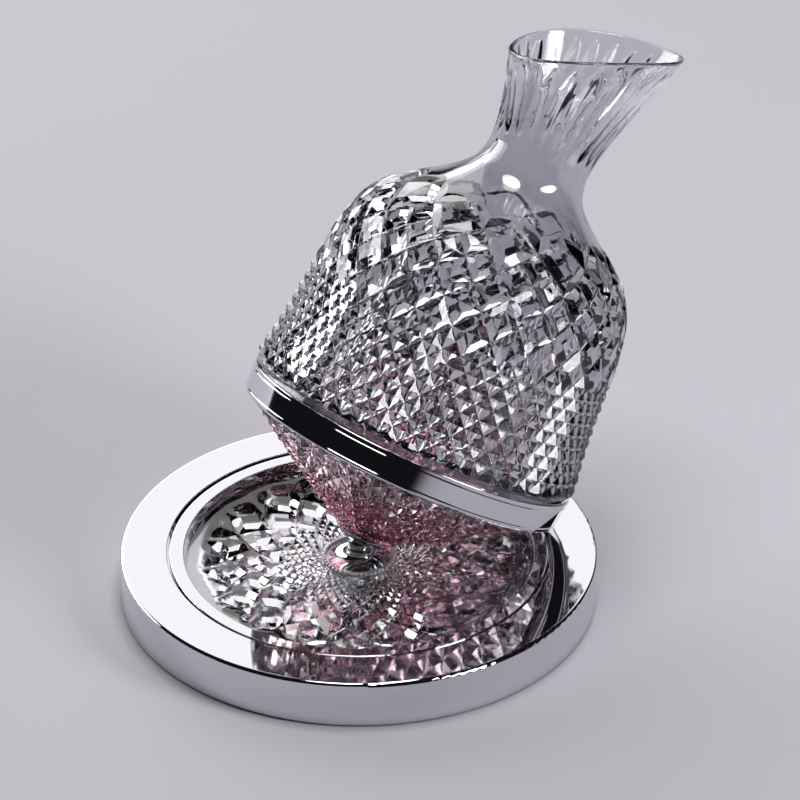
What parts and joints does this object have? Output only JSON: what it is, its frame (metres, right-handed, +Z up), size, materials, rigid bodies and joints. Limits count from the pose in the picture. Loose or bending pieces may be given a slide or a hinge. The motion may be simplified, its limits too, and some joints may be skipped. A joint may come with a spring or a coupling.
{
  "type": "rotating decanter",
  "caption": "Cut-crystal decanter with a chromed waist band; it leans on the rim of a round chromed tray, pivots on a ball foot at the centre, spins and rolls round.",
  "frame": {"origin": "centre of the tray's underside, on the surface that it stands on", "axes": "+Z up along the tray's axis; the decanter leans towards +X and +Y, and the spout points near +X"},
  "size_m": [0.2812, 0.2501, 0.2724],
  "materials": {
    "chrome": "polished chromed brass",
    "crystal": "clear cut crystal",
    "steel": "turned stainless steel",
    "bronze": "sintered bronze bush",
    "low_friction_plastic": "turned low-friction plastic",
    "rubber": "moulded black rubber",
    "clear_seal": "clear moulded silicone",
    "plate": "black painted sheet",
    "felt_pad": "black non-slip pad"
  },
  "bodies": {
    "tray": {"tray_shell": "chrome", "bezel_ring": "chrome", "glass_insert": "crystal", "insert_gasket": "clear_seal", "centre_spigot": "steel", "spigot_nut": "steel", "thrust_washer": "low_friction_plastic", "base_plate": "plate", "base_screws": "steel", "base_pad": "felt_pad"},
    "foot": {"swivel_foot": "chrome", "beaded_ring": "chrome", "foot_bush": "bronze"},
    "seat": {"ball_seat": "low_friction_plastic"},
    "stud": {"ball_stud": "steel", "spindle_clip": "steel"},
    "decanter": {"upper_glass": "crystal", "lower_glass": "crystal", "waist_band": "chrome", "upper_seal": "clear_seal", "lower_seal": "clear_seal", "pivot_ferrule": "chrome", "nose_gasket": "clear_seal", "cap_gasket": "clear_seal", "cap_nut": "chrome", "spindle_bush": "bronze"}
  },
  "joints": [
    {"name": "foot_swivel", "type": "hinge", "parent": "tray", "child": "foot", "pos_m": [0, 0, 0.0155], "axis": [0, 0, 1], "continuous": true},
    {"name": "decanter_lift", "type": "slide", "parent": "foot", "child": "seat", "axis": [0, 0, 1], "range_m": [0, 0.08]},
    {"name": "decanter_lean", "type": "hinge", "parent": "seat", "child": "stud", "pos_m": [0, 0, 0.027], "axis": [-0.6157, 0.788, 0], "range_deg": [-63.43, 0]},
    {"name": "decanter_spin", "type": "hinge", "parent": "stud", "child": "decanter", "pos_m": [0, 0, 0.027], "axis": [0.4143, 0.3237, 0.8507], "continuous": true}
  ]
}
